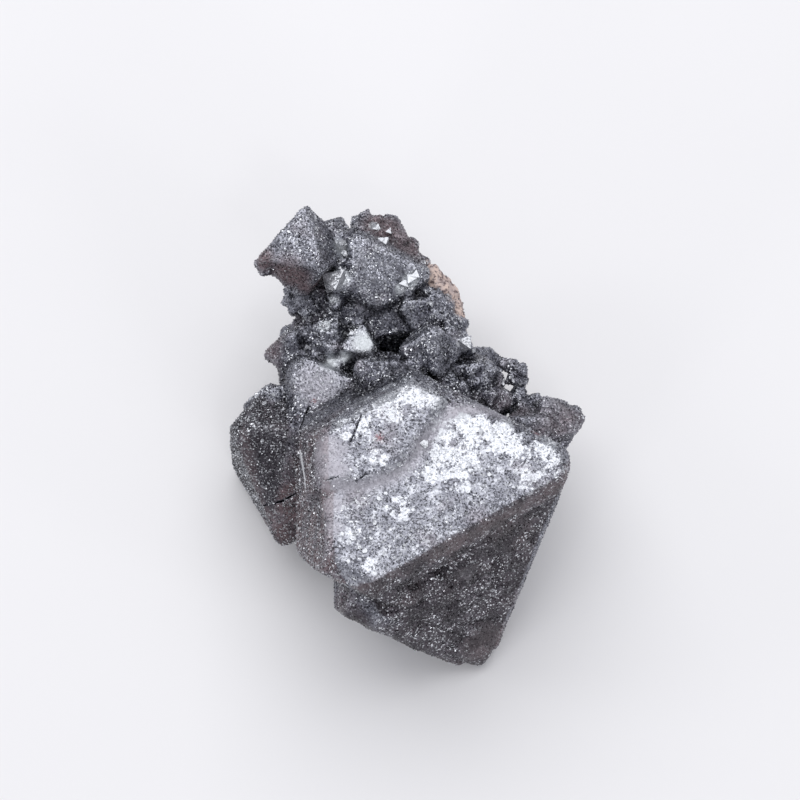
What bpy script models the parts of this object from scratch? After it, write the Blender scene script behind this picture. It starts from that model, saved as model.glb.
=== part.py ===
# A palm-sized cluster of octahedral magnetite crystals that hematite has replaced. The largest
# crystal lies on its rear face, a second one leans against its left side, and a crust of
# smaller crystals stands behind and above them, with a chip of the host rock at its edge.
#
# The crystals are laid out from the middle of the largest crystal's rear face, in millimetres
# and degrees, and the finished cluster is then centred on the origin.
import itertools
import math
import random

import bmesh
import bpy
from mathutils import Matrix, Vector

MM = 0.001

# An octahedron that lies on a face has its faces this far from its centre, and its corners
# this far out from its upright, both as a share of the corners' reach.
FACE_DEPTH = 1 / math.sqrt(3)
CORNER_SPREAD = math.sqrt(2 / 3)
CORNER_TURN = 120
FACES = tuple(itertools.product((0, 3), (1, 4), (2, 5)))

# The largest crystal. Corners 0 to 2 are its top face's, anticlockwise from the spin, and 3 to 5
# are opposite them. A corner's wear is the share of the reach that is missing there. A face is
# named by the corners around it, and its growth is how far it stands out from the ideal form.
# The bed cut makes the face that it lies on exactly flat.
MAIN_REACH = 20.4
MAIN_SPIN = 1
MAIN_HEIGHT = MAIN_REACH * FACE_DEPTH
TOP = (0, 1, 2)
BOTTOM = (3, 4, 5)
UPPER_SIDE = (0, 1, 5)
LEFT_SIDE = (3, 1, 2)
LOWER_SIDE = (0, 4, 2)
RIGHT_UNDERSIDE = (0, 4, 5)
LOWER_LEFT_UNDERSIDE = (3, 4, 2)
MAIN_WEAR = (0.03, 0.31, 0.20, 0.54, 0.06, 0.05)
MAIN_GROWTH = {
    UPPER_SIDE: 1.6, LEFT_SIDE: 0.75, LOWER_SIDE: -0.55, RIGHT_UNDERSIDE: 0.4,
    LOWER_LEFT_UNDERSIDE: -2.0,
}
BED_SINK = 0.05
BED_CUTTER_SIZE = 120

# Growth layers on the main crystal: the same form with other growths and wears, sunk in it
# except where they show. The terrace steps up on the top face, the rim runs along the lower
# side's upper edge, the tip caps the lowest corner, and the foot stands out from the underside.
LAYER_SUNK = -0.5
GROWTH_LAYERS = {
    "terrace": (
        {TOP: 0.7, LOWER_SIDE: -8.5, LEFT_SIDE: 1.65, UPPER_SIDE: 0.85, BOTTOM: -17.5},
        (0.3, 0.31, 0.1, 0.6, 0.6, 0.3),
    ),
    "rim": (
        {TOP: -0.1, LOWER_SIDE: 0, LEFT_SIDE: 0.7, LOWER_LEFT_UNDERSIDE: -2.2, BOTTOM: -20.9},
        (0.04, 0.6, 0.17, 0.68, 0.4, 0.4),
    ),
    "tip": (
        {TOP: -18.7, LOWER_SIDE: -0.12, LOWER_LEFT_UNDERSIDE: 0.3, BOTTOM: -0.2},
        (0.5, 0.5, 0.5, 0.5, 0.06, 0.5),
    ),
    "foot": (
        {
            TOP: -6, LOWER_SIDE: -0.95, LEFT_SIDE: -3.6, LOWER_LEFT_UNDERSIDE: 1.1,
            BOTTOM: -1.5,
        },
        (0.6, 0.6, 0.31, 0.66, 0.12, 0.6),
    ),
}

# Two upright cuts bend the terrace's step, each as its direction and its distance from the
# upright.
TERRACE_CUTS = ((-90, 1.75), (-33, -0.87))

# The second crystal, leaning on the left side.
LEFT_ROW = ("left_crystal", (-12.3, 7.9, 8.0), 11.2, 81, 32, 76)
LEFT_WEAR = (0.10, 0.17, 0.12, 0.07, 0.10, 0.10)

# The broad crystal at the crest, whose lowest corner is missing.
CREST_ROW = ("crest_face", (-3.6, 25.7, 16.0), 7.3, 2, 24, 267)
CREST_WEAR = (0.08, 0.14, 0.36, 0.10, 0.10, 0.10)

# The bevel along a crystal's edges as a share of its reach, and the smallest reach that gets it.
EDGE_WEAR = 0.035
SMALLEST_BEVELLED = 3.3
CORNER_WEAR_RANGE = (0.06, 0.2)
FACE_GROWTH_RANGE = (-0.05, 0.07)

# Each row: the centre, the reach from centre to corner, the spin of the corners about the
# crystal's upright, how far it leans and which way, and how many studs grow on it.
LEFT_CRYSTALS = (
    ("left_shoulder", (-9.9, 12.2, 12.4), 6.8, 4, 11, 262, 0),
    ("left_corner", (-15.4, 11.6, 11.8), 3.6, 60, 30, 200, 5),
    ("left_rear", (-11.5, 14.9, 11.4), 4.6, 10, 25, 230, 4),
)
PEAK_CRYSTALS = (
    ("peak", (-11.9, 26.5, 20.7), 5.6, 76, 15, 203, 0),
    ("peak_lobe", (-15.9, 24.8, 20.7), 1.5, 30, 40, 200, 0),
    ("peak_side", (-8.6, 29.0, 18.7), 3.2, 10, 30, 260, 5),
    ("peak_foot", (-8.2, 26.9, 18.6), 2.8, 90, 25, 310, 2),
)
CREST_CRYSTALS = (
    ("crest_top", (-4.9, 31.0, 16.7), 2.7, 20, 35, 110, 4),
    ("crest_hump", (-2.9, 30.2, 16.2), 3.6, 75, 30, 80, 6),
    ("crest_slope", (-1.5, 28.4, 16.1), 3.2, 45, 30, 50, 6),
    ("crest_end", (-0.2, 26.7, 16.1), 2.8, 15, 35, 20, 4),
    ("edge_middle", (0.8, 24.6, 16.2), 3.0, 40, 30, 350, 4),
    ("edge_lower", (2.5, 22.2, 15.4), 3.4, 10, 35, 10, 5),
    ("bright_facet", (-7.7, 23.8, 18.5), 2.3, 85, 2, 0, 0),
    ("bright_chip", (-8.4, 22.3, 17.1), 1.5, 30, 4, 90, 0),
    ("bright_strip", (-0.7, 23.7, 17.8), 2.0, 40, 3, 90, 0),
)
MIDDLE_CRYSTALS = (
    ("ridge_crystal", (1.4, 21.2, 15.0), 4.6, 40, 28, 300, 0),
    ("middle_face", (-2.4, 21.4, 14.6), 4.6, 100, 25, 250, 0),
    ("front_crystal", (2.0, 16.6, 17.2), 4.0, 57, 31, 238, 0),
    ("front_chip", (3.9, 19.7, 15.2), 2.8, 20, 30, 0, 4),
    ("front_lump", (5.2, 17.8, 15.0), 2.2, 80, 15, 20, 3),
    ("mirror_facet", (-5.7, 17.8, 15.3), 2.9, 84, 4, 200, 0),
    ("low_facet", (-8.2, 16.2, 14.1), 2.9, 10, 6, 180, 0),
    ("small_facet", (-9.1, 19.4, 15.4), 2.3, 60, 10, 160, 0),
    ("hollow_wall", (-6.8, 21.6, 14.2), 4.0, 30, 40, 260, 3),
    ("hollow_floor", (-3.0, 15.2, 13.2), 3.6, 20, 20, 80, 4),
    ("left_lump", (-13.4, 18.1, 13.0), 3.5, 57, 34, 228, 6),
    ("left_lump_top", (-11.6, 19.8, 13.5), 3.2, 80, 35, 150, 5),
    ("left_lump_foot", (-11.0, 17.3, 13.3), 3.2, 40, 30, 240, 5),
    ("neck_upper", (-12.0, 23.7, 14.4), 3.0, 15, 30, 170, 5),
    ("neck_front", (-10.4, 22.9, 15.0), 3.5, 45, 30, 260, 5),
)
RIGHT_CRYSTALS = (
    ("right_crystal", (6.6, 14.4, 14.0), 3.8, 35, 25, 250, 4),
    ("right_far", (8.1, 13.6, 12.9), 2.9, 50, 20, 300, 3),
    ("right_bump", (7.0, 15.9, 13.4), 2.2, 10, 30, 90, 4),
    ("right_near", (4.9, 11.9, 13.8), 3.6, 80, 30, 270, 4),
    ("loop_start", (9.9, 16.6, 13.2), 1.0, 0, 20, 0, 0),
    ("loop_rise", (10.8, 16.4, 13.2), 1.1, 45, 30, 30, 0),
    ("loop_top", (11.6, 15.8, 13.0), 1.3, 60, 25, 30, 0),
    ("loop_side", (11.8, 14.8, 12.6), 1.1, 20, 40, 10, 0),
    ("loop_drop", (11.7, 13.9, 12.2), 1.1, 80, 10, 70, 0),
    ("loop_foot", (11.3, 12.9, 12.0), 1.3, 70, 30, 300, 0),
    ("loop_web", (11.0, 14.9, 13.0), 1.05, 35, 25, 20, 0),
    ("end_neck", (12.6, 11.1, 12.0), 3.0, 10, 30, 90, 4),
    ("end_crystal", (15.2, 9.9, 12.1), 4.0, 110, 22, 278, 0),
    ("end_knob", (17.0, 10.5, 12.0), 2.2, 60, 30, 10, 3),
    ("end_foot", (15.7, 8.2, 11.0), 2.2, 30, 40, 330, 2),
)
# Crystals that fill the angle between the crust and the main crystal's upper edge.
GROOVE_CRYSTALS = (
    ("groove_left", (-3.6, 13.2, 16.6), 4.2, 25, 15, 250, 6),
    ("groove_middle", (-0.6, 12.9, 16.0), 4.0, 70, 20, 270, 5),
    ("groove_right", (2.6, 12.6, 13.8), 4.2, 50, 25, 280, 4),
    ("groove_far", (7.2, 11.9, 12.4), 4.6, 10, 20, 290, 5),
    ("groove_end", (12.4, 8.4, 13.0), 4.0, 35, 20, 300, 4),
)
BACK_CRYSTALS = (
    ("back_crystal", (-2.4, 22.0, 5.2), 9.4, MAIN_SPIN, 0, 0, 0),
    ("back_left", (-9.4, 20.0, 9.4), 6.4, 30, 40, 180, 3),
    ("core_left", (-9.2, 19.2, 12.8), 5.3, 50, 20, 100, 0),
    ("back_peak", (-8.6, 25.4, 13.2), 6.6, 70, 30, 120, 3),
    ("back_right", (5.6, 15.8, 8.6), 6.2, 50, 35, 20, 3),
    ("back_end", (12.4, 9.6, 8.4), 4.8, 20, 40, 0, 3),
    ("back_crest", (-1.4, 26.4, 11.4), 5.6, 80, 30, 80, 3),
)
CRYSTAL_FAMILIES = (
    LEFT_CRYSTALS, PEAK_CRYSTALS, CREST_CRYSTALS, MIDDLE_CRYSTALS, RIGHT_CRYSTALS,
    GROOVE_CRYSTALS, BACK_CRYSTALS,
)

# Studs are small crystals sunk a little in their host's upper front side, each turned at random
# within the form's own repeat of spin, lean and direction.
STUD_REACH = (0.55, 1.25)
STUD_LARGEST_SHARE = 0.5
STUD_SINK = 0.25
STUD_FACING = Vector((0, -0.38, 0.92))
STUD_SPREAD = 0.7
STUD_MOST_TURN = (CORNER_TURN, 50, 360)

# The chip of host rock: a block from flat cuts, longer down the edge than it is thick.
ROCK_CENTRE = (2.4, 23.1, 14.3)
ROCK_LONG_WAY = Vector((0.44, -0.83, -0.35))
ROCK_OUTWARD = Vector((0.68, 0.56, -0.48))
ROCK_HALF_SIZES = (3.9, 1.7, 2.6)
ROCK_CORNER_CUT = 0.7
ROCK_EDGE_WEAR = 0.25
ROCK_GAP = 0.3

# A block starts as a cube this many times as wide as its farthest cut, and two points nearer
# than the second value, in metres, count as one.
START_CUBE = 6
SAME_POINT = 1e-7


def clear_scene():
    for item in list(bpy.data.objects):
        bpy.data.objects.remove(item)


def make_material(name, colour, roughness, metallic):
    material = bpy.data.materials.new(name)
    material.use_nodes = True
    shader = material.node_tree.nodes["Principled BSDF"]
    shader.inputs["Base Color"].default_value = (*colour, 1)
    shader.inputs["Roughness"].default_value = roughness
    shader.inputs["Metallic"].default_value = metallic
    return material


def corner_axes():
    # The six corner directions of an octahedron that lies on a face, opposite pairs three apart.
    top = []
    for corner in range(3):
        angle = math.radians(CORNER_TURN * corner)
        across = CORNER_SPREAD
        top.append(Vector((across * math.cos(angle), across * math.sin(angle), FACE_DEPTH)))
    return top + [-axis for axis in top]


def octahedron_planes(reach, wear, growth):
    # Eight faces and up to six worn corners, each as an outward direction and a distance.
    axes = corner_axes()
    planes = []
    for corners in FACES:
        outward = sum((axes[corner] for corner in corners), Vector()).normalized()
        planes.append((outward, reach * FACE_DEPTH + growth.get(corners, 0)))
    for axis, share in zip(axes, wear):
        if share:
            planes.append((axis, reach * (1 - share)))
    return planes


def block_from_planes(name, planes, edge_wear):
    # Cuts a block down to what lies inside every plane.
    shape = bmesh.new()
    longest = max(distance for _, distance in planes)
    bmesh.ops.create_cube(shape, size=START_CUBE * longest * MM)
    for outward, distance in planes:
        everything = shape.verts[:] + shape.edges[:] + shape.faces[:]
        cut = bmesh.ops.bisect_plane(
            shape, geom=everything, plane_co=outward * distance * MM, plane_no=outward,
            clear_outer=True, dist=SAME_POINT,
        )
        rim = [item for item in cut["geom_cut"] if isinstance(item, bmesh.types.BMEdge)]
        if rim:
            bmesh.ops.contextual_create(shape, geom=rim)
    if edge_wear:
        bmesh.ops.bevel(
            shape, geom=shape.edges[:], offset=edge_wear * MM, segments=1, affect="EDGES",
            clamp_overlap=True,
        )
    bmesh.ops.recalc_face_normals(shape, faces=shape.faces)
    mesh = bpy.data.meshes.new(name)
    shape.to_mesh(mesh)
    shape.free()
    return mesh


def turn_of(spin, lean, toward):
    spin, lean, toward = (math.radians(angle) for angle in (spin, lean, toward))
    turned = Matrix.Rotation(toward, 3, "Z") @ Matrix.Rotation(lean, 3, "Y")
    return turned @ Matrix.Rotation(spin - toward, 3, "Z")


def own_form(name):
    # Each smaller crystal has its own blunted corners and slightly uneven faces.
    chance = random.Random(name)
    wear = [chance.uniform(*CORNER_WEAR_RANGE) for _ in range(6)]
    growth = {corners: chance.uniform(*FACE_GROWTH_RANGE) for corners in FACES}
    return wear, growth


def add_object(name, mesh, home):
    item = bpy.data.objects.new(name, mesh)
    home.objects.link(item)
    return item


def add_helper(name, mesh, home):
    helper = add_object(name, mesh, home)
    helper.hide_render = True
    helper.display_type = "WIRE"
    return helper


def grow_crystal(name, centre, reach, turn, home, form=None, cuts=()):
    wear, growth = form or own_form(name)
    if not form:
        growth = {corners: share * reach for corners, share in growth.items()}
    edge_wear = EDGE_WEAR * reach if reach > SMALLEST_BEVELLED else 0
    planes = octahedron_planes(reach, wear, growth)
    for angle, distance in cuts:
        angle = math.radians(angle)
        planes.append((Vector((math.cos(angle), math.sin(angle), 0)), distance))
    crystal = add_helper(name, block_from_planes(name, planes, edge_wear), home)
    crystal.location = Vector(centre) * MM
    crystal.rotation_euler = turn.to_euler()
    return crystal


def grow_studs(host, centre, reach, turn, count, home):
    chance = random.Random(host + " studs")
    for number in range(count):
        outward = Vector(chance.gauss(facing, STUD_SPREAD) for facing in STUD_FACING)
        outward.normalize()
        spread = sum(abs((turn @ axis).dot(outward)) for axis in corner_axes()[:3])
        stud_reach = min(chance.uniform(*STUD_REACH), reach * STUD_LARGEST_SHARE)
        place = Vector(centre) + outward * (reach / spread - STUD_SINK * stud_reach)
        stud_turn = turn_of(*(chance.uniform(0, most) for most in STUD_MOST_TURN))
        grow_crystal(f"{host}_stud_{number + 1}", place, stud_reach, stud_turn, home)


def grow_layers(home):
    middle = (0, 0, MAIN_HEIGHT)
    for name, (growth, wear) in GROWTH_LAYERS.items():
        whole = {corners: growth.get(corners, LAYER_SUNK) for corners in FACES}
        turn = turn_of(MAIN_SPIN, 0, 0)
        cuts = TERRACE_CUTS if name == "terrace" else ()
        grow_crystal(name, middle, MAIN_REACH, turn, home, (wear, whole), cuts)


def rock_planes(grown):
    # Six sides and eight cut corners. The socket for the chip is the same form, grown by the gap.
    long_way = ROCK_LONG_WAY.normalized()
    outward = (ROCK_OUTWARD - long_way * ROCK_OUTWARD.dot(long_way)).normalized()
    ways = (long_way, outward, long_way.cross(outward))
    planes = []
    for way, half in zip(ways, ROCK_HALF_SIZES):
        planes += [(way, half + grown), (-way, half + grown)]
    for signs in itertools.product((1, -1), repeat=3):
        sides = list(zip(ways, ROCK_HALF_SIZES, signs))
        corner = sum((way * half * sign for way, half, sign in sides), Vector())
        slant = sum((way * sign / half for way, half, sign in sides), Vector()).normalized()
        planes.append((slant, corner.dot(slant) * ROCK_CORNER_CUT + grown))
    return planes


def add_boolean(item, operation, operand):
    # The exact solver leaves open edges where many small crystals meet.
    step = item.modifiers.new(operand.name, "BOOLEAN")
    step.operation = operation
    step.object = operand
    step.solver = "MANIFOLD"


def helper_collection(name):
    group = bpy.data.collections.new(name)
    bpy.context.scene.collection.children.link(group)
    return group


def build_cluster(material):
    group = helper_collection("grown_crystals")
    grow_layers(group)
    for row, wear in ((LEFT_ROW, LEFT_WEAR), (CREST_ROW, CREST_WEAR)):
        name, centre, reach, *angles = row
        grow_crystal(name, centre, reach, turn_of(*angles), group, (wear, {}))
    for family in CRYSTAL_FAMILIES:
        for name, centre, reach, spin, lean, toward, studs in family:
            turn = turn_of(spin, lean, toward)
            grow_crystal(name, centre, reach, turn, group)
            grow_studs(name, centre, reach, turn, studs, group)

    cutters = helper_collection("cutters")
    shape = block_from_planes("rock_socket", rock_planes(ROCK_GAP), 0)
    add_helper("rock_socket", shape, cutters).location = Vector(ROCK_CENTRE) * MM
    half = BED_CUTTER_SIZE / 2
    sides = [(Vector(way), half) for way in ((1, 0, 0), (-1, 0, 0), (0, 1, 0), (0, -1, 0))]
    sides += [(Vector((0, 0, 1)), 0), (Vector((0, 0, -1)), half)]
    add_helper("bed_cutter", block_from_planes("bed_cutter", sides, 0), cutters)

    planes = octahedron_planes(MAIN_REACH, MAIN_WEAR, MAIN_GROWTH)
    mesh = block_from_planes("crystal_cluster", planes, EDGE_WEAR * MAIN_REACH)
    mesh.materials.append(material)
    cluster = add_object("crystal_cluster", mesh, bpy.context.scene.collection)
    cluster.location.z = (MAIN_HEIGHT - BED_SINK) * MM
    cluster.rotation_euler.z = math.radians(MAIN_SPIN)
    for crystal in group.objects:
        add_boolean(cluster, "UNION", crystal)
    for cutter in cutters.objects:
        add_boolean(cluster, "DIFFERENCE", cutter)
    return cluster


def build_rock(material):
    mesh = block_from_planes("matrix_chip", rock_planes(0), ROCK_EDGE_WEAR)
    mesh.materials.append(material)
    rock = add_object("matrix_chip", mesh, bpy.context.scene.collection)
    rock.location = Vector(ROCK_CENTRE) * MM
    return rock


def centre_on_origin(nodes):
    # The middle of the box around the nodes, seen from above, comes to the origin.
    bpy.context.view_layer.update()
    graph = bpy.context.evaluated_depsgraph_get()
    points = []
    for node in nodes:
        shape = node.evaluated_get(graph)
        points += [shape.matrix_world @ vertex.co for vertex in shape.data.vertices]
    lows = [min(point[axis] for point in points) for axis in range(3)]
    highs = [max(point[axis] for point in points) for axis in range(3)]
    specimen = bpy.data.objects.new("specimen", None)
    bpy.context.scene.collection.objects.link(specimen)
    specimen.location = (-(lows[0] + highs[0]) / 2, -(lows[1] + highs[1]) / 2, 0)
    for item in bpy.data.objects:
        if item is not specimen:
            item.parent = specimen


def main():
    clear_scene()
    hematite = make_material("hematite", (0.16, 0.16, 0.18), 0.42, 0.85)
    host_rock = make_material("host_rock", (0.62, 0.47, 0.42), 0.85, 0.0)
    cluster = build_cluster(hematite)
    rock = build_rock(host_rock)
    centre_on_origin([cluster, rock])


main()
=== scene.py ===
import math

import bpy
import numpy as np
from mathutils import Matrix, Vector, noise


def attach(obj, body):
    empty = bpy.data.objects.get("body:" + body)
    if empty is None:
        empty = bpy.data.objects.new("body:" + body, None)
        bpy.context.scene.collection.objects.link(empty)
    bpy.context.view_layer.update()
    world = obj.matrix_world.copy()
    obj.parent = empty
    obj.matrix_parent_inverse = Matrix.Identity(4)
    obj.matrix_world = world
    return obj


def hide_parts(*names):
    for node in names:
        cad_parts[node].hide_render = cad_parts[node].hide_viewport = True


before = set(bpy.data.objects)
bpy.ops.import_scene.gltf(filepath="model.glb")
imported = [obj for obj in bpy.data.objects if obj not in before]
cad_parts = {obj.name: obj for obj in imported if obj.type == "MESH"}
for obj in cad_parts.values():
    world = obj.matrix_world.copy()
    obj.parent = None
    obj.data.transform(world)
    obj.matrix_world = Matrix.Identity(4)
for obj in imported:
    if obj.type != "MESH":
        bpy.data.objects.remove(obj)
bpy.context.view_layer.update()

mm = 0.001


# small tools

tools = {
    "weld": 0.002,  # in mm
    "dabEdge": 1.4,  # a dab ends at this many radii
    "patchSpread": (0.5, 1.6),  # the patches' mean and their contrast
    "weightSteps": 20,
}


def clearSelection():
    for item in bpy.context.selected_objects:
        item.select_set(False)


def choose(item):
    clearSelection()
    bpy.context.view_layer.objects.active = item
    item.select_set(True)


def copyOf(source, name):
    item = bpy.data.objects.new(name, source.data.copy())
    bpy.context.scene.collection.objects.link(item)
    item.data.materials.clear()
    return item


def joinAll(items):
    clearSelection()
    for item in items:
        item.select_set(True)
    bpy.context.view_layer.objects.active = items[0]
    bpy.ops.object.join()
    return items[0]


def addModifier(item, kind, **settings):
    choose(item)
    step = item.modifiers.new(kind.title(), kind)
    for key, value in settings.items():
        setattr(step, key, value)
    bpy.ops.object.modifier_apply(modifier=step.name)


def remeshedNode(nodeName, name, voxel):
    # a copy of the node's solid as an even net of small faces, this many mm wide
    item = copyOf(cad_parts[nodeName], name)
    choose(item)
    bpy.ops.object.mode_set(mode="EDIT")
    bpy.ops.mesh.select_all(action="SELECT")
    bpy.ops.mesh.remove_doubles(threshold=tools["weld"] * mm)
    bpy.ops.object.mode_set(mode="OBJECT")
    addModifier(item, "REMESH", mode="VOXEL", voxel_size=voxel * mm, use_smooth_shade=True)
    return item


def pointsOf(item):
    found = np.empty(len(item.data.vertices) * 3, np.float32)
    item.data.vertices.foreach_get("co", found)
    return found.reshape(-1, 3).astype(float) / mm


def normalsOf(item):
    found = np.empty(len(item.data.vertices) * 3, np.float32)
    item.data.vertices.foreach_get("normal", found)
    return found.reshape(-1, 3).astype(float)


def nearestTo(points, place):
    return np.linalg.norm(points - place, axis=1).argmin()


def soften(value):
    value = np.clip(value, 0, 1)
    return value * value * (3 - 2 * value)


def mixOf(pair, mask):
    # an amount without the mask, and what the mask adds to it
    return pair[0] + pair[1] * mask


def dab(points, dabs):
    # round dabs of paint: place and radius in mm, and amount
    painted = np.zeros(len(points))
    for x, y, z, radius, amount in dabs:
        gap = np.linalg.norm(points - (x, y, z), axis=1)
        painted = np.maximum(painted, amount * soften(tools["dabEdge"] - gap / radius))
    return painted


def patchesAt(points, size):
    # soft patches about this many mm wide, 0 to 1
    found = np.array([noise.noise(Vector(point) / size) for point in points])
    return soften(mixOf(tools["patchSpread"], found))


def stroke(points, path, width):
    # nearness to a path of points in mm, 1 on it and 0 beyond its width
    nearest = np.full(len(points), 1e9)
    for start, end in zip(path, path[1:]):
        start, along = np.array(start, float), np.subtract(end, start)
        share = np.clip((points - start) @ along / (along @ along), 0, 1)
        nearest = np.minimum(nearest, np.linalg.norm(points - start - share[:, None] * along, axis=1))
    return soften(1 - nearest / width)


def hollowsOf(item, points, rounds):
    # how far each point lies below the mean of its surroundings, in mm
    ends = np.empty(len(item.data.edges) * 2, np.int32)
    item.data.edges.foreach_get("vertices", ends)
    first, second = ends[0::2], ends[1::2]
    count = np.bincount(ends, minlength=len(points))[:, None]
    mean = points.copy()
    for _ in range(rounds):
        total = np.stack([
            np.bincount(first, mean[second, axis], len(points))
            + np.bincount(second, mean[first, axis], len(points)) for axis in range(3)
        ], axis=1)
        mean = (mean + total / count) / 2
    return ((mean - points) * normalsOf(item)).sum(1)


def trianglesOf(item):
    return sum(len(face.vertices) - 2 for face in item.data.polygons)


def giveMaterial(item, material):
    item.data.materials.clear()
    item.data.materials.append(material)
    item.data.polygons.foreach_set("material_index", np.zeros(len(item.data.polygons), np.int32))


def keepAttribute(item, name, values):
    kind = "FLOAT" if values.ndim == 1 else "FLOAT_VECTOR"
    layer = item.data.attributes.get(name) or item.data.attributes.new(name, kind, "POINT")
    layer.data.foreach_set("value" if values.ndim == 1 else "vector", values.astype(np.float32).ravel())


def weigh(item, name, values):
    # a vertex group with these weights, in steps
    group = item.vertex_groups.get(name) or item.vertex_groups.new(name=name)
    count = tools["weightSteps"]
    steps = np.round(np.clip(values, 0, 1) * count).astype(int)
    for step in range(1, count + 1):
        found = np.nonzero(steps == step)[0].tolist()
        if found:
            group.add(found, step / count, "REPLACE")


def addWave(item, kind, size, depth, group=""):
    # moves the surface in and out by a pattern of this size and depth in mm
    pattern = bpy.data.textures.new(kind.title(), kind)
    pattern.noise_scale = size * mm
    addModifier(item, "DISPLACE", texture=pattern, texture_coords="LOCAL", strength=depth * mm,
                mid_level=0.5, vertex_group=group)


# material tools

def newMaterial(name):
    material = bpy.data.materials.new(name)
    material.use_nodes = True
    tree = material.node_tree
    return material, tree, tree.nodes["Principled BSDF"]


def addNode(tree, kind, inputs=None, **settings):
    node = tree.nodes.new(kind)
    for key, value in settings.items():
        setattr(node, key, value)
    for key, value in (inputs or {}).items():
        if isinstance(value, bpy.types.NodeSocket):
            tree.links.new(value, node.inputs[key])
        else:
            node.inputs[key].default_value = value
    return node


def calculate(tree, operation, *values, clamp=False):
    node = addNode(tree, "ShaderNodeMath", dict(enumerate(values)), operation=operation, use_clamp=clamp)
    return node.outputs[0]


def blendColour(tree, share, first, second):
    node = addNode(tree, "ShaderNodeMix", data_type="RGBA")
    for key, value in ((0, share), (6, first), (7, second)):
        if isinstance(value, bpy.types.NodeSocket):
            tree.links.new(value, node.inputs[key])
        else:
            node.inputs[key].default_value = value if key == 0 else (*value, 1)
    return node.outputs[2]


def blendValue(tree, share, first, second):
    node = addNode(tree, "ShaderNodeMix", {0: share, 2: first, 3: second}, data_type="FLOAT")
    return node.outputs[0]


def stretch(tree, vector, amount):
    return addNode(tree, "ShaderNodeVectorMath", {0: vector, "Scale": amount}, operation="SCALE").outputs[0]


def placeOf(tree, shift=None):
    # the place on the piece, moved by the shift if there is one
    place = addNode(tree, "ShaderNodeTexCoord").outputs["Object"]
    if shift is None:
        return place
    return addNode(tree, "ShaderNodeVectorMath", {0: place, 1: shift}, operation="ADD").outputs[0]


def noiseAt(tree, size, detail=3.0, roughness=0.55, shift=0.0):
    # noise whose features are about this many mm wide
    return addNode(tree, "ShaderNodeTexNoise", {
        "Vector": placeOf(tree, (shift, shift, shift) if shift else None),
        "Scale": 1 / (size * mm), "Detail": detail, "Roughness": roughness,
    }).outputs[0]


def cellsAt(tree, size, bends=None):
    return addNode(tree, "ShaderNodeTexVoronoi", {"Vector": placeOf(tree, bends), "Scale": 1 / (size * mm)})


def rampOf(tree, value, low, high):
    return addNode(tree, "ShaderNodeMapRange", {
        "Value": value, "From Min": low, "From Max": high,
    }, interpolation_type="SMOOTHSTEP").outputs[0]


def paintOf(tree, name):
    return addNode(tree, "ShaderNodeAttribute", attribute_name=name).outputs["Fac"]


def tiltCells(tree, cells, amount, normal=None):
    # each cell's random colour gives it its own small tilt, as tiny crystal faces have
    turned = addNode(tree, "ShaderNodeVectorMath", {
        0: cells.outputs["Color"], 1: (0.5, 0.5, 0.5),
    }, operation="SUBTRACT").outputs[0]
    tilt = stretch(tree, turned, amount)
    base = normal or addNode(tree, "ShaderNodeNewGeometry").outputs["Normal"]
    summed = addNode(tree, "ShaderNodeVectorMath", {0: base, 1: tilt}, operation="ADD").outputs[0]
    return addNode(tree, "ShaderNodeVectorMath", {0: summed}, operation="NORMALIZE").outputs[0]


# studio

studio = {
    # the camera's place and the point that the lamps look at in mm, other lengths in metres
    "cameraPlace": (-0.74, -113.68, 293.31), "cameraTilt": 22.6, "lens": 125.55,
    "sensor": 36, "nearest": 0.005, "lampsLookAt": (0, 0, 12),
    "floorSize": 1.6, "floorColour": (0.825, 0.82, 0.835), "floorRoughness": 0.9,
    "worldColour": (0.93, 0.94, 1.0), "worldStrength": 0.42,
    "lights": (
        # name, direction from the specimen, distance, size, power
        ("softbox", (-0.08, 0.40, 0.90), 0.45, 0.56, 1.90),
        ("leftStrip", (-0.85, 0.05, 0.50), 0.45, 0.10, 0.14),
        ("rightStrip", (0.80, -0.45, 0.35), 0.45, 0.08, 0.12),
        ("frontGlint", (0.45, -0.85, 0.30), 0.45, 0.07, 0.16),
        ("leftGlint", (-0.50, -0.80, 0.35), 0.45, 0.07, 0.12),
        ("cameraGlint", (0.15, -0.60, 0.80), 0.45, 0.06, 0.09),
        ("lowGlint", (0.62, -0.75, 0.12), 0.45, 0.08, 0.20),
    ),
}


def buildStudio():
    scene = bpy.context.scene
    scene.view_settings.view_transform = "Standard"
    camera = bpy.data.cameras.new("camera")
    camera.sensor_width = studio["sensor"]
    camera.lens = studio["lens"]
    camera.clip_start = studio["nearest"]
    cameraObject = bpy.data.objects.new("camera", camera)
    cameraObject.location = Vector(studio["cameraPlace"]) * mm
    cameraObject.rotation_euler = (math.radians(studio["cameraTilt"]), 0, 0)
    scene.collection.objects.link(cameraObject)
    scene.camera = cameraObject
    for name, way, distance, size, power in studio["lights"]:
        lamp = bpy.data.lights.new(name, "AREA")
        lamp.size = size
        lamp.energy = power
        lampObject = bpy.data.objects.new(name, lamp)
        way = Vector(way).normalized()
        lampObject.location = way * distance + Vector(studio["lampsLookAt"]) * mm
        lampObject.rotation_euler = way.to_track_quat("Z", "Y").to_euler()
        scene.collection.objects.link(lampObject)
    world = bpy.data.worlds.new("world")
    world.use_nodes = True
    scene.world = world
    air = world.node_tree.nodes["Background"]
    air.inputs["Color"].default_value = (*studio["worldColour"], 1)
    air.inputs["Strength"].default_value = studio["worldStrength"]
    clearSelection()
    bpy.ops.mesh.primitive_plane_add(size=studio["floorSize"], location=(0, 0, 0))
    floor = bpy.context.object
    floor.name = "floor"
    material, _, shader = newMaterial("floorPaper")
    shader.inputs["Base Color"].default_value = (*studio["floorColour"], 1)
    shader.inputs["Roughness"].default_value = studio["floorRoughness"]
    floor.data.materials.append(material)
    print("studio ready")


# the crystal body, in mm from the middle of the footprint

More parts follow.
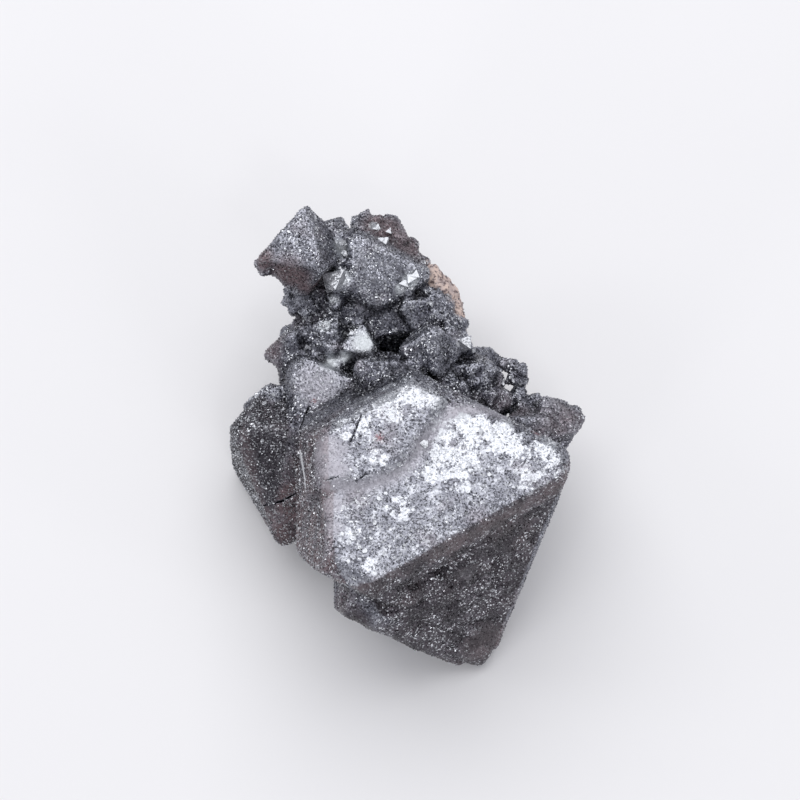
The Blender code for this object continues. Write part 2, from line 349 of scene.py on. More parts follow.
body = {
    "voxel": 0.19, "triangles": 185000, "smoothing": 0.5,
    # two crystals: centre, reach of a corner, and their turn in degrees
    "mainCentre": (0.62, -9.38, 11.78), "mainReach": 20.4, "mainTurn": (1, 0, 0),
    "leftCentre": (-11.68, -1.48, 8.0), "leftReach": 11.2, "leftTurn": (81, 32, 76),
    "waves": (
        # pattern, size, depth, where
        ("CLOUDS", 5.0, 0.30, "rough"), ("VORONOI", 1.2, 0.16, "crust"),
        ("CLOUDS", 0.8, 0.14, "rough"), ("VORONOI", 0.4, 0.06, "rough"),
        ("VORONOI", 1.5, 0.42, "lower"),
    ),
    "carved": (
        # depth, width, path
        (0.60, 0.9, ((3.9, -18.6, 18.2), (4.7, -18.7, 16.7), (5.7, -18.9, 14.8))),
        (0.50, 0.8, ((0.98, -20.3, 18.4), (3.37, -18.9, 18.2), (5.68, -17.7, 17.9), (8.4, -16.4, 17.8))),
        (0.55, 0.9, ((-6.8, -20.1, 15.0), (-3.9, -22.0, 17.4), (-0.8, -21.9, 15.8))),
        (0.45, 1.0, ((4.2, -21.7, 10.2), (6.7, -21.2, 7.8), (9.1, -20.3, 6.6))),
        (0.45, 1.0, ((6.6, -18.8, 13.6), (8.6, -17.8, 14.0), (9.6, -17.6, 12.2))),
        (0.50, 1.0, ((-3.4, -20.2, 20.6), (-1.0, -20.4, 19.6), (0.6, -20.4, 18.2))),
        (0.40, 0.6, ((1.5, -19.8, 18.9), (5.0, -17.6, 18.9), (8.5, -15.4, 19.2))),
        (0.45, 0.7, ((0.0, -22.0, 15.6), (2.6, -20.5, 15.2), (5.0, -19.1, 15.4))),
        (0.40, 0.8, ((4.6, -20.6, 12.4), (7.6, -19.0, 12.0), (10.2, -17.7, 11.0))),
        (0.22, 0.5, ((-6.2, 19.6, 19.4), (-3.6, 17.8, 19.9), (-1.6, 16.2, 19.8))),
        (0.20, 0.4, ((-5.6, 16.6, 19.8), (-3.4, 15.4, 19.8), (-1.0, 13.8, 19.7))),
        (0.18, 0.4, ((-4.0, 19.2, 19.6), (-1.8, 17.4, 19.6), (0.2, 15.6, 19.4))),
        (0.30, 0.5, ((-6.6, 15.2, 19.2), (-5.0, 13.8, 18.8), (-3.4, 13.0, 18.6))),
        (0.35, 0.7, ((15.9, 1.5, 15.0), (17.3, 0.3, 14.4))),
        (0.75, 0.8, ((-10.2, -4.7, 21.7), (-9.9, -6.3, 22.3), (-10.4, -6.8, 21.2))),
    ),
    "cracks": (
        # width, depth, path
        (0.13, 0.7, ((-4.8, -2.8, 24.0), (-5.5, -5.2, 24.4), (-5.8, -6.4, 24.4))),
        (0.09, 0.5, ((-9.6, -11.2, 22.9), (-8.6, -10.6, 24.0), (-7.4, -10.3, 24.4))),
        (0.11, 0.5, ((-5.1, -10.7, 24.2), (-4.3, -10.1, 24.4))),
        (0.30, 0.9, ((-15.5, -8.3, 9.2), (-14.3, -8.1, 10.8), (-13.5, -7.9, 11.0), (-12.4, -7.5, 11.5))),
        (0.24, 0.8, ((-10.5, 0.9, 15.9), (-10.8, 0.1, 15.7), (-11.2, -1.6, 15.7))),
    ),
    "paint": {
        # x, y, z, radius, amount
        "plates": (
            (0.9, -0.9, 24.2, 1.6, 1.0), (3.2, -2.0, 24.2, 1.2, 0.9), (-1.5, -2.9, 24.3, 1.3, 0.9),
            (-4.4, -4.5, 24.2, 1.0, 0.8), (-5.9, -5.5, 24.2, 0.9, 0.9), (-2.8, -8.4, 24.3, 0.9, 0.9),
            (4.0, -4.8, 23.6, 1.4, 1.0), (6.6, -4.4, 23.5, 1.9, 1.0), (9.7, -5.4, 23.5, 2.0, 1.0),
            (11.2, -7.0, 23.5, 1.6, 0.9), (3.9, -7.9, 23.5, 1.7, 1.0), (2.4, -9.8, 23.5, 0.9, 0.7),
            (6.0, -8.0, 23.5, 1.5, 0.9), (14.6, -6.6, 23.4, 1.6, 0.8), (15.2, -8.6, 23.2, 1.4, 0.7),
            (5.0, -10.2, 23.5, 1.6, 0.6), (-5.6, -16.4, 23.5, 1.2, 0.45), (-4.0, -19.6, 23.4, 1.0, 0.5),
            (12.6, -10.4, 23.5, 1.4, 0.5), (-0.8, -13.2, 23.5, 1.4, 0.5), (-5.2, -3.2, 23.8, 1.2, 0.8),
            (-3.3, -2.3, 23.9, 1.2, 0.9), (-1.6, -1.1, 23.9, 1.2, 1.0), (-0.2, 0.5, 23.8, 1.2, 1.0),
            (-7.0, -4.6, 23.6, 1.0, 0.7),
        ),
        "calm": (
            (-8.2, -7.4, 24.1, 1.9, 0.8), (-7.6, -9.6, 24.1, 1.8, 0.8), (-7.8, -13.0, 23.6, 1.3, 0.8),
            (-7.6, -15.6, 23.5, 1.1, 0.7), (-9.8, 3.4, 16.2, 2.6, 0.5), (6.2, -18.4, 16.2, 1.3, 0.45),
            (8.4, -16.8, 18.4, 1.2, 0.4),
        ),
        "mirror": (
            (-4.7, 8.0, 17.6, 1.5, 1.0), (-7.2, 14.6, 19.2, 1.2, 0.8), (-7.3, 17.7, 20.5, 1.0, 0.8),
            (-8.4, 6.0, 16.3, 1.1, 0.9), (-6.6, 6.8, 16.2, 0.8, 0.9), (0.4, 14.2, 19.7, 0.9, 0.8),
            (-0.7, 13.4, 19.3, 0.6, 0.8), (-7.9, 12.8, 17.9, 0.6, 1.0), (-8.9, 10.2, 16.7, 0.7, 1.0),
            (-3.7, 21.3, 18.6, 0.5, 0.9), (-2.6, 19.2, 19.5, 0.7, 0.9),
        ),
        # painted light: dabs that lighten the ground where the crystals look lit, a painted sheen
        "paintedLight": (
            (-10.0, 3.4, 16.2, 3.4, 0.65), (-12.6, 3.4, 15.2, 2.0, 0.35), (-3.4, -1.9, 23.8, 1.4, 0.7),
            (-5.8, -4.2, 23.6, 1.4, 0.6), (-1.0, 0.2, 23.6, 1.4, 0.7), (15.8, 1.0, 15.0, 3.0, 0.5),
            (-3.3, 16.0, 19.8, 3.0, 0.55), (-7.3, 17.7, 20.5, 1.4, 1.0), (-5.4, 17.4, 20.2, 1.7, 1.0),
            (6.3, 8.4, 16.8, 1.3, 1.0), (-0.6, 19.6, 18.8, 1.6, 0.5), (-11.4, 17.6, 23.6, 2.8, 0.7),
            (-0.5, 3.0, 18.5, 1.8, 0.7), (-4.9, 7.6, 17.4, 1.6, 1.0), (5.6, 7.6, 17.0, 1.6, 1.0),
            (1.5, 8.0, 19.6, 2.2, 0.45), (-7.0, -1.5, 19.5, 2.0, 0.4),
        ),
        # painted shade: dabs that darken the crevices and hollows where shadow falls
        "shade": (
            (-4.3, 1.5, 18.5, 1.5, 1.0), (-2.6, 7.0, 16.5, 2.2, 0.3), (-13.3, -11.4, 7.5, 2.0, 1.0),
            (-11.6, -5.5, 11.0, 2.2, 0.6), (-0.7, 10.9, 17.4, 0.8, 1.0), (6.0, 2.3, 15.6, 1.4, 0.7),
            (2.4, 3.4, 17.4, 1.2, 0.7), (-9.5, 13.5, 17.0, 1.6, 0.6), (3.9, -18.9, 17.6, 1.1, 1.0),
            (-2.2, -21.2, 17.0, 1.6, 1.0), (9.4, -16.6, 14.6, 1.2, 1.0), (1.6, -20.9, 15.6, 1.0, 1.0),
            (-4.4, 1.4, 19.6, 1.6, 1.0), (-5.0, 2.4, 18.2, 1.3, 1.0), (-13.4, 5.6, 14.0, 1.4, 0.6),
            (-8.0, -0.4, 17.6, 1.4, 0.6), (-12.0, -3.4, 16.4, 1.5, 1.0), (-10.1, -5.0, 21.8, 0.7, 1.0),
            (-10.1, -6.2, 22.0, 0.7, 1.0), (-12.6, -8.6, 10.8, 1.0, 1.0), (-12.4, -10.6, 9.0, 1.2, 0.9),
            (-15.4, -3.6, 14.0, 0.9, 0.7), (-14.6, -5.0, 13.2, 0.8, 0.6), (-11.9, -5.6, 15.4, 1.6, 1.0),
            (-11.6, -8.2, 14.6, 1.6, 1.0), (-11.4, -10.6, 13.4, 1.6, 0.8),
        ),
        "brown": (
            (8.4, -22.0, 4.5, 3.2, 0.9), (11.5, -19.5, 9.0, 2.4, 0.5), (-12.4, 14.2, 21.2, 2.4, 1.0),
            (-15.4, 15.4, 22.2, 1.4, 0.9), (-10.6, 14.0, 19.4, 1.6, 0.9), (-2.6, 21.4, 18.4, 2.6, 0.85),
            (0.2, 19.4, 18.2, 2.4, 0.8), (16.4, 0.6, 14.4, 3.0, 0.35), (-14.6, 9.0, 14.0, 1.6, 0.6),
            (-8.6, -21.0, 15.0, 3.0, 0.6), (12.0, 1.2, 14.8, 1.8, 0.4),
        ),
        "tan": (
            (2.7, 17.6, 17.2, 0.7, 0.9), (5.0, 13.6, 17.0, 1.0, 0.9), (4.1, 15.6, 17.4, 0.9, 0.8),
            (0.9, 20.9, 18.0, 0.4, 0.9), (5.8, 12.0, 16.4, 0.8, 0.7),
        ),
        "red": (
            (-2.9, -5.9, 24.3, 0.5, 0.7), (13.6, -4.6, 23.0, 0.6, 0.7), (-9.9, 1.6, 16.1, 0.3, 0.9),
            (-12.1, -0.2, 15.7, 0.3, 0.9),
        ),
    },
    # width, amount, path of the pale plates on the slope beside the terrace, which also carry painted light
    "terraceRim": (
        2.2, 0.8, ((-8.4, -4.0, 22.4), (-6.5, -2.6, 22.7), (-5.5, -1.9, 22.6), (-4.6, -1.2, 22.4),
                   (-3.8, -0.6, 22.3), (-2.9, 0.3, 21.9), (-1.8, 1.2, 22.0), (0.2, 1.7, 22.2)),
    ),
    "calmPaths": (
        # width, amount, path
        (1.3, 0.9, ((-8.6, -11.2, 23.9), (-4.2, -11.2, 23.9), (-1.4, -10.1, 23.9), (0.7, -8.4, 23.9),
                    (1.5, -6.4, 23.9), (3.0, -4.6, 23.9), (4.6, -2.9, 23.8), (8.0, -2.2, 23.5),
                    (10.2, -2.9, 23.3))),
    ),
    "brownPaths": (
        # width, amount, path
        (2.2, 1.0, ((-5.2, -21.4, 22.6), (5.0, -16.6, 22.4), (16.6, -9.8, 22.0))),
        (1.6, 0.8, ((-17.6, -1.6, 15.2), (-16.9, -4.9, 13.1), (-16.0, -7.6, 10.8), (-14.2, -10.4, 9.0))),
        (1.4, 0.6, ((-9.4, -13.0, 22.6), (-7.8, -19.6, 22.4))),
        (1.3, 0.7, ((-4.9, -22.6, 13.0), (0.0, -23.3, 9.0), (3.8, -23.6, 4.0), (7.2, -23.4, 1.0))),
    ),
    "smoothed": (
        # rounds, width, path
        (70, 2.8, ((-9.4, -11.2, 24.0), (-4.2, -11.2, 24.0), (-1.4, -10.1, 24.0), (0.7, -8.4, 24.0),
                   (1.5, -6.4, 24.0), (3.0, -4.6, 24.0), (4.6, -2.9, 24.0))),
        (60, 5.5, ((-11.6, 3.6, 16.0), (-7.0, 2.6, 17.0))),
        (160, 3.2, ((-12.3, 6.0, 16.2), (-12.4, 0.0, 15.6), (-11.8, -3.6, 15.4))),
        (30, 2.0, ((-15.6, 2.6, 14.0), (-12.6, 0.6, 14.6))),
        (60, 2.4, ((-15.6, 7.8, 13.7), (-15.0, 9.0, 13.8), (-14.2, 9.9, 13.4))),
        (60, 2.4, ((17.6, -0.4, 13.8), (16.6, 0.6, 14.2))),
        (40, 1.6, ((-7.4, 13.0, 17.6), (-4.8, 11.4, 17.4), (-1.4, 12.4, 17.8))),
        (20, 2.2, ((-9.6, -3.5, 23.6), (-9.9, -7.0, 23.6), (-9.2, -12.0, 23.4))),
        (12, 1.6, ((-9.2, -15.0, 23.4), (-5.0, -21.0, 23.3), (5.0, -15.6, 23.4), (16.4, -9.2, 23.2))),
    ),
    "lowerEdge": ((-4.9, -22.4, 14.0), (-0.7, -23.0, 10.8), (2.5, -23.4, 6.0), (6.0, -23.5, 0.8)),
    "lowerWidth": 3.4, "lowerGain": 2.2,
    # in mm: from this height grains grow, all of them after this much more
    "bedFrom": 0.2, "bedClear": 1.2,
    "hollowRounds": 60, "hollowDepth": 0.28, "ridgeHeight": 0.22, "patch": 2.0, "fray": 0.9,
    # where a crystal's paint ends, as a share of its form, and its fade
    "mainOut": (1.18, 0.05), "leftOut": (1.10, 0.06),
    # where the brown on the left face starts along y, and its fade in mm
    "leftFaceFrom": (-2, 3),
    # the shares of the paint, then pairs: without a mask, and what the mask adds
    "topPlates": 0.10, "rimLight": 0.6, "rimCalm": 0.2, "hollowDim": 0.9, "shadeLeft": 0.4,
    "lowerBrown": 0.35, "leftBrown": 0.25, "brownEdge": 0.35, "leftGlitter": 0.9,
    "rimWidth": (0.5, 1.0), "rimPatches": (0.35, 0.65), "sideBrown": (0.4, 0.5), "brownWidth": (0.7, 0.6),
    "leftDim": (0.86, -0.4), "lowerDim": (0.94, -0.3), "shadeLower": (0.55, 0.45),
    "quietFace": (0.5, -0.4), "quietBrown": (-0.4, 1.4), "calmPlates": (1, -0.9),
    "mirrorStill": (1, -0.9), "calmSmooth": (1, -0.8), "topGrains": (0.25, 0.75),
    "lowerGrains": (1, -0.4), "sideSparks": (0.3, 0.7), "sparks": (0.15, 0.85),
    "shadeSparks": (1, -0.8), "crustWaves": (0.1, 0.9), "roughWaves": (1, -0.6),
}


def crystalAxes(spin, lean, toward):
    # the three corner directions of an octahedron that lies on a face, then leans
    spin, lean, toward = (math.radians(angle) for angle in (spin, lean, toward))
    turn = Matrix.Rotation(toward, 3, "Z") @ Matrix.Rotation(lean, 3, "Y")
    turn = turn @ Matrix.Rotation(spin - toward, 3, "Z")
    axes = []
    for corner in range(3):
        angle = math.radians(120 * corner)
        across = math.sqrt(2 / 3)
        axes.append(turn @ Vector((across * math.cos(angle), across * math.sin(angle), 1 / math.sqrt(3))))
    return np.array(axes)


def facesOf(points, centre, reach, turn):
    # how deep a point lies in the crystal's form, 1 on its faces, and the signs that name the face
    along = (points - centre) @ crystalAxes(*turn).T
    return np.abs(along).sum(1) / reach, along > 0


def paintBody(item, points):
    # each crystal and face as a mask
    mainDepth, mainSigns = facesOf(points, body["mainCentre"], body["mainReach"], body["mainTurn"])
    leftDepth, _ = facesOf(points, body["leftCentre"], body["leftReach"], body["leftTurn"])
    main = soften((body["mainOut"][0] - mainDepth) / body["mainOut"][1])
    left = soften((body["leftOut"][0] - leftDepth) / body["leftOut"][1]) * (1 - main)
    top = main * mainSigns.all(1)
    crust = (1 - main) * (1 - left)
    # the lower face's mask, which also carries its painted shade, runs on along the edge below it
    edge = body["lowerGain"] * stroke(points, body["lowerEdge"], body["lowerWidth"])
    edge = np.minimum(1, edge) * (1 - top)
    lower = main * np.maximum((mainSigns == (True, False, True)).all(1), edge)
    start, fade = body["leftFaceFrom"]
    leftFace = main * (mainSigns == (False, True, True)).all(1) * soften((start - points[:, 1]) / fade)
    bed = soften((points[:, 2] - body["bedFrom"]) / body["bedClear"])
    patches, fray = patchesAt(points, body["patch"]), patchesAt(points, body["fray"])
    # the painted layers
    paint = {name: dab(points, dabs) for name, dabs in body["paint"].items()}
    paint["plates"] = np.maximum(paint["plates"] * main, body["topPlates"] * top)
    for width, amount, path in body["calmPaths"]:
        paint["calm"] = np.maximum(paint["calm"], amount * stroke(points, path, width))
    # the pale plates on the slope beside the terrace, with painted light on them
    width, amount, path = body["terraceRim"]
    rimPaint = amount * stroke(points, path, width * mixOf(body["rimWidth"], fray)) * main
    rimPaint = rimPaint * mixOf(body["rimPatches"], patches)
    paint["paintedLight"] = np.maximum(paint["paintedLight"], body["rimLight"] * rimPaint)
    paint["plates"] = np.maximum(paint["plates"], rimPaint)
    # brown on the left face in patches, on the lower face and on the left crystal
    sideBrown = mixOf(body["sideBrown"], patches) * leftFace + body["lowerBrown"] * lower + body["leftBrown"] * left
    paint["brown"] = np.maximum(paint["brown"], sideBrown)
    for width, amount, path in body["brownPaths"]:
        band = amount * stroke(points, path, width * mixOf(body["brownWidth"], fray)) * (1 - top)
        paint["brown"] = np.maximum(paint["brown"], band)
    rim = soften(paint["brown"] / body["brownEdge"] - 1) * lower
    paint["calm"] = np.maximum(paint["calm"], body["rimCalm"] * rim)
    # painted shade darkens the hollows, the lower face, the left crystal and the places under the shade
    # dabs; a painted highlight lightens the ridges
    depth = hollowsOf(item, points, body["hollowRounds"])
    hollow = soften(depth / body["hollowDepth"]) * (1 - top)
    paint["ridgeHighlight"] = soften(-depth / body["ridgeHeight"]) * (1 - top)
    leftDim = left * mixOf(body["leftDim"], soften(paint["brown"]))
    faceDim = mixOf(body["lowerDim"], patches) * lower + leftDim
    paint["paintedShade"] = np.maximum(faceDim, body["hollowDim"] * hollow)
    shadeDim = paint["shade"] * (mixOf(body["shadeLower"], lower) + body["shadeLeft"] * left)
    paint["paintedShade"] = np.maximum(paint["paintedShade"], shadeDim)
    # where grains grow, and where some of them glint
    quiet = 1 - mixOf(body["quietFace"], leftFace) * soften(mixOf(body["quietBrown"], paint["brown"]))
    paint["plates"] *= mixOf(body["calmPlates"], paint["calm"])
    still = mixOf(body["mirrorStill"], paint["mirror"])
    smooth = mixOf(body["calmSmooth"], paint["calm"])
    paint["grainTop"] = top * smooth * mixOf(body["topGrains"], paint["plates"])
    paint["grainMain"] = main * (1 - top) * smooth * mixOf(body["lowerGrains"], lower) * bed
    paint["grainLeft"] = left * smooth * bed
    paint["grainCrust"] = crust * still * smooth * bed
    paint["sparkSide"] = leftFace * smooth * bed * mixOf(body["sideSparks"], fray)
    for name in ("Main", "Left", "Crust"):
        paint["spark" + name] = paint["grain" + name] * mixOf(body["sparks"], patches) * quiet
    glitter = body["leftGlitter"] * paint["grainLeft"] * mixOf(body["shadeSparks"], paint["shade"])
    paint["sparkLeft"] = np.maximum(paint["sparkLeft"], glitter)
    paint["patches"], paint["top"] = patches, top
    for name, values in paint.items():
        keepAttribute(item, name, values)
    # where each wave moves the surface
    weigh(item, "crust", mixOf(body["crustWaves"], crust) * still * bed)
    weigh(item, "rough", mixOf(body["roughWaves"], top) * still * bed)
    weigh(item, "lower", lower * (1 - rim) * bed)


def buildBody():
    item = remeshedNode("crystal_cluster", "hematiteBody", body["voxel"])
    for number, (rounds, width, path) in enumerate(body["smoothed"]):
        weigh(item, f"smoothed{number}", stroke(pointsOf(item), path, width))
        addModifier(item, "SMOOTH", factor=body["smoothing"], iterations=rounds,
                    vertex_group=f"smoothed{number}")
    points = pointsOf(item)
    keepAttribute(item, "faceWay", normalsOf(item))
    paintBody(item, points)
    for kind, size, depth, group in body["waves"]:
        addWave(item, kind, size, depth, group)
    for number, (depth, width, path) in enumerate(body["carved"]):
        weigh(item, f"carved{number}", stroke(points, path, width))
        addModifier(item, "DISPLACE", strength=-depth * mm, mid_level=0, vertex_group=f"carved{number}")
    item.vertex_groups.clear()
    # each face of the remesh is two triangles
    addModifier(item, "DECIMATE", ratio=min(1, body["triangles"] / (2 * len(item.data.polygons))))
    addModifier(item, "BOOLEAN", object=crackBlades(item), operation="DIFFERENCE", solver="MANIFOLD")
    bpy.data.objects.remove(bpy.data.objects["crackBlades"])
    print("body", trianglesOf(item), "triangles")
    return item


def crackBlades(host):
    # thin wedges, one along each stretch of a crack, laid on the host's surface
    points, blades = pointsOf(host), []
    for width, depth, path in body["cracks"]:
        path = [Vector(points[nearestTo(points, place)]) for place in path]
        for start, end in zip(path, path[1:]):
            along = end - start
            clearSelection()
            # full width at one end and a third of it at the other
            bpy.ops.mesh.primitive_cone_add(vertices=4, radius1=width / 2 * mm, radius2=width / 6 * mm,
                                            depth=(along.length + width) * mm)
            blade = bpy.context.object
            blade.scale = (1, depth / width * 2, 1)
            blade.location = (start + along / 2) * mm
            side = along.cross(Vector((0, 0, 1))).normalized()
            up = side.cross(along.normalized())
            blade.rotation_euler = Matrix((side, up, along.normalized())).transposed().to_euler()
            blades.append(blade)
    blade = joinAll(blades)
    blade.name = "crackBlades"
    return blade


# the hematite, one material for every piece but the chip of rock

hematite = {
    "dark": (0.085, 0.086, 0.108), "steel": (0.42, 0.43, 0.485), "bright": (0.52, 0.535, 0.575),
    "brown": (0.165, 0.108, 0.115), "lilac": (0.45, 0.43, 0.48), "tan": (0.56, 0.42, 0.36),
    # spark is the pale colour of painted glints, given to a share of the tiny faces whatever the lamps
    "red": (0.22, 0.06, 0.06), "mirror": (0.46, 0.485, 0.51), "spark": (0.74, 0.76, 0.80),
    # speck is the near-black of the dark specks, also used for the painted shade
    "speck": (0.02, 0.018, 0.022), "plain": (0.25, 0.25, 0.27),
    # in mm: the tiny faces, the plates, and how finely and how far the plates' outlines wander
    "cell": 0.15, "plateCell": 0.5, "bendWidth": 0.6, "bend": 0.7, "bendDetail": 3.0,
    # noises: width in mm, detail, roughness, shift
    "clumps": (1.1, 5, 0.7), "fine": (0.35, 3, 0.6, 0.3), "broad": (4.0, 2, 0.5, 0.7),
    # ramps: where they start, where they are full
    "plateRamp": (0.86, 0.98), "plateStart": (0, 0.2), "clumpRamp": (0.35, 0.7), "brownRamp": (0.5, 0.75),
    "gritRamp": (0.42, 0.55), "speckRamp": (0.78, 0.84), "sparkRamp": (0.85, 0.93),
    # shares
    "plateFine": 0.35, "plateTone": 0.20, "platePaint": 0.30,
    "toneClumps": 0.5, "toneLight": 0.55, "toneTop": 0.35, "toneRidge": 0.35,
    "brownBroad": 0.3, "brownMix": 0.85, "calmShare": 0.7, "dimShare": 0.84, "stillBrown": 1.3,
    "sparkFlake": 0.8, "metalBrowning": 0.7, "metalCalm": 0.35, "metalMirror": 0.7, "metalSpark": 0.4,
    "tiltPlate": 0.35, "tiltCalm": 0.40, "tiltMirror": 0.12, "plateLean": 0.32,
    "roughCalm": 0.5, "roughSpark": 0.14,
    # pairs: without a mask, and under it
    "speckCalm": (0.7, 0.2), "speckMirror": (1.0, 0.2), "speckPlate": (1.0, 0.5),
    "sparkPatches": (0.25, 1.0), "metal": (0.95, 0.2), "rough": (0.18, 0.50),
    "tilt": (0.80, 0.70), "tiltOnPlate": (1.0, 0.5),
}


def hematiteMaterial():
    look = hematite
    material, tree, shader = newMaterial("hematite")

    def plus(first, second, clamp=False):
        return calculate(tree, "ADD", first, second, clamp=clamp)

    def minus(first, second, clamp=False):
        return calculate(tree, "SUBTRACT", first, second, clamp=clamp)

    def times(first, second, clamp=False):
        return calculate(tree, "MULTIPLY", first, second, clamp=clamp)

    def larger(first, second):
        return calculate(tree, "MAXIMUM", first, second)

    plates, calm, mirror = paintOf(tree, "plates"), paintOf(tree, "calm"), paintOf(tree, "mirror")
    paintedLight, shade, brown = paintOf(tree, "paintedLight"), paintOf(tree, "shade"), paintOf(tree, "brown")
    top, flake, paintedShade = paintOf(tree, "top"), paintOf(tree, "flake"), paintOf(tree, "paintedShade")
    clumps, fine, broad = (noiseAt(tree, *look[name]) for name in ("clumps", "fine", "broad"))
    cells = cellsAt(tree, look["cell"])
    split = addNode(tree, "ShaderNodeSeparateColor", {0: cells.outputs["Color"]})
    sparkCell, speckCell, roughCell = split.outputs[0], split.outputs[1], split.outputs[2]
    # the pale plates lie thickest where painted, and their outlines wander
    bends = addNode(tree, "ShaderNodeTexNoise", {
        "Vector": placeOf(tree), "Scale": 1 / (look["bendWidth"] * mm), "Detail": look["bendDetail"],
    }).outputs["Color"]
    plateCells = cellsAt(tree, look["plateCell"], stretch(tree, bends, look["bend"] * mm))
    plateTone = addNode(tree, "ShaderNodeSeparateColor", {0: plateCells.outputs["Color"]}).outputs[0]
    mixed = plus(clumps, times(fine, look["plateFine"]))
    mixed = plus(mixed, times(plateTone, look["plateTone"]))
    mixed = plus(mixed, times(plates, look["platePaint"]))
    plate = times(rampOf(tree, mixed, *look["plateRamp"]), rampOf(tree, plates, *look["plateStart"]))
    # the ground under them runs from dark to steel grey, lighter on the top face, with painted light from
    # the light dabs, a painted highlight on the ridges and painted shade under the shade dabs; then brown
    # and lilac calm areas
    tone = times(rampOf(tree, clumps, *look["clumpRamp"]), look["toneClumps"])
    tone = plus(tone, times(paintedLight, look["toneLight"]))
    tone = plus(tone, times(top, look["toneTop"]))
    tone = plus(tone, times(paintOf(tree, "ridgeHighlight"), look["toneRidge"]))
    tone = times(tone, minus(1.0, shade), clamp=True)
    base = blendColour(tree, tone, look["dark"], look["steel"])
    browning = plus(brown, times(rampOf(tree, broad, *look["brownRamp"]), look["brownBroad"]), clamp=True)
    base = blendColour(tree, times(browning, look["brownMix"]), base, look["brown"])
    base = blendColour(tree, times(calm, look["calmShare"]), base, look["lilac"])
    base = blendColour(tree, plate, base, look["bright"])
    base = blendColour(tree, mirror, base, look["mirror"])
    grit = rampOf(tree, fine, *look["gritRamp"])
    for name in ("tan", "red"):
        base = blendColour(tree, times(paintOf(tree, name), grit), base, look[name])
    # dark specks, fewer where the surface is calm, then painted glints: a share of the tiny faces, and the
    # grains marked by flake, take the pale spark colour whatever the lamps
    speck = times(rampOf(tree, speckCell, *look["speckRamp"]), blendValue(tree, calm, *look["speckCalm"]))
    speck = times(speck, blendValue(tree, mirror, *look["speckMirror"]))
    speck = times(speck, blendValue(tree, plate, *look["speckPlate"]))
    # the near-black of the specks also carries the painted shade
    base = blendColour(tree, larger(speck, times(paintedShade, look["dimShare"])), base, look["speck"])
    still = minus(1.0, larger(calm, mirror), clamp=True)
    still = times(still, minus(look["stillBrown"], brown), clamp=True)
    spark = times(rampOf(tree, sparkCell, *look["sparkRamp"]), still)
    spark = times(spark, blendValue(tree, paintOf(tree, "patches"), *look["sparkPatches"]))
    spark = larger(spark, times(flake, look["sparkFlake"]))
    base = blendColour(tree, spark, base, look["spark"])
    shader.inputs["Base Color"].default_value = (*look["plain"], 1)
    tree.links.new(base, shader.inputs["Base Color"])
    metal = blendValue(tree, times(browning, look["metalBrowning"]), *look["metal"])
    metal = minus(metal, times(calm, look["metalCalm"]), clamp=True)
    metal = blendValue(tree, larger(spark, times(mirror, look["metalMirror"])), metal, look["metalSpark"])
    metal = minus(metal, paintOf(tree, "tan"), clamp=True)
    tree.links.new(metal, shader.inputs["Metallic"])
    tilt = blendValue(tree, top, *look["tilt"])
    tilt = blendValue(tree, plate, tilt, look["tiltPlate"])
    tilt = blendValue(tree, calm, tilt, look["tiltCalm"])
    tilt = blendValue(tree, larger(mirror, flake), tilt, look["tiltMirror"])
    tilt = times(tilt, blendValue(tree, plate, *look["tiltOnPlate"]))
    tipped = tiltCells(tree, cells, tilt)
    tipped = tiltCells(tree, plateCells, times(plate, look["plateLean"]), tipped)
    tree.links.new(tipped, shader.inputs["Normal"])
    rough = blendValue(tree, roughCell, *look["rough"])
    rough = blendValue(tree, calm, rough, look["roughCalm"])
    rough = blendValue(tree, spark, rough, look["roughSpark"])
    tree.links.new(rough, shader.inputs["Roughness"])
    return material


# crystal grains

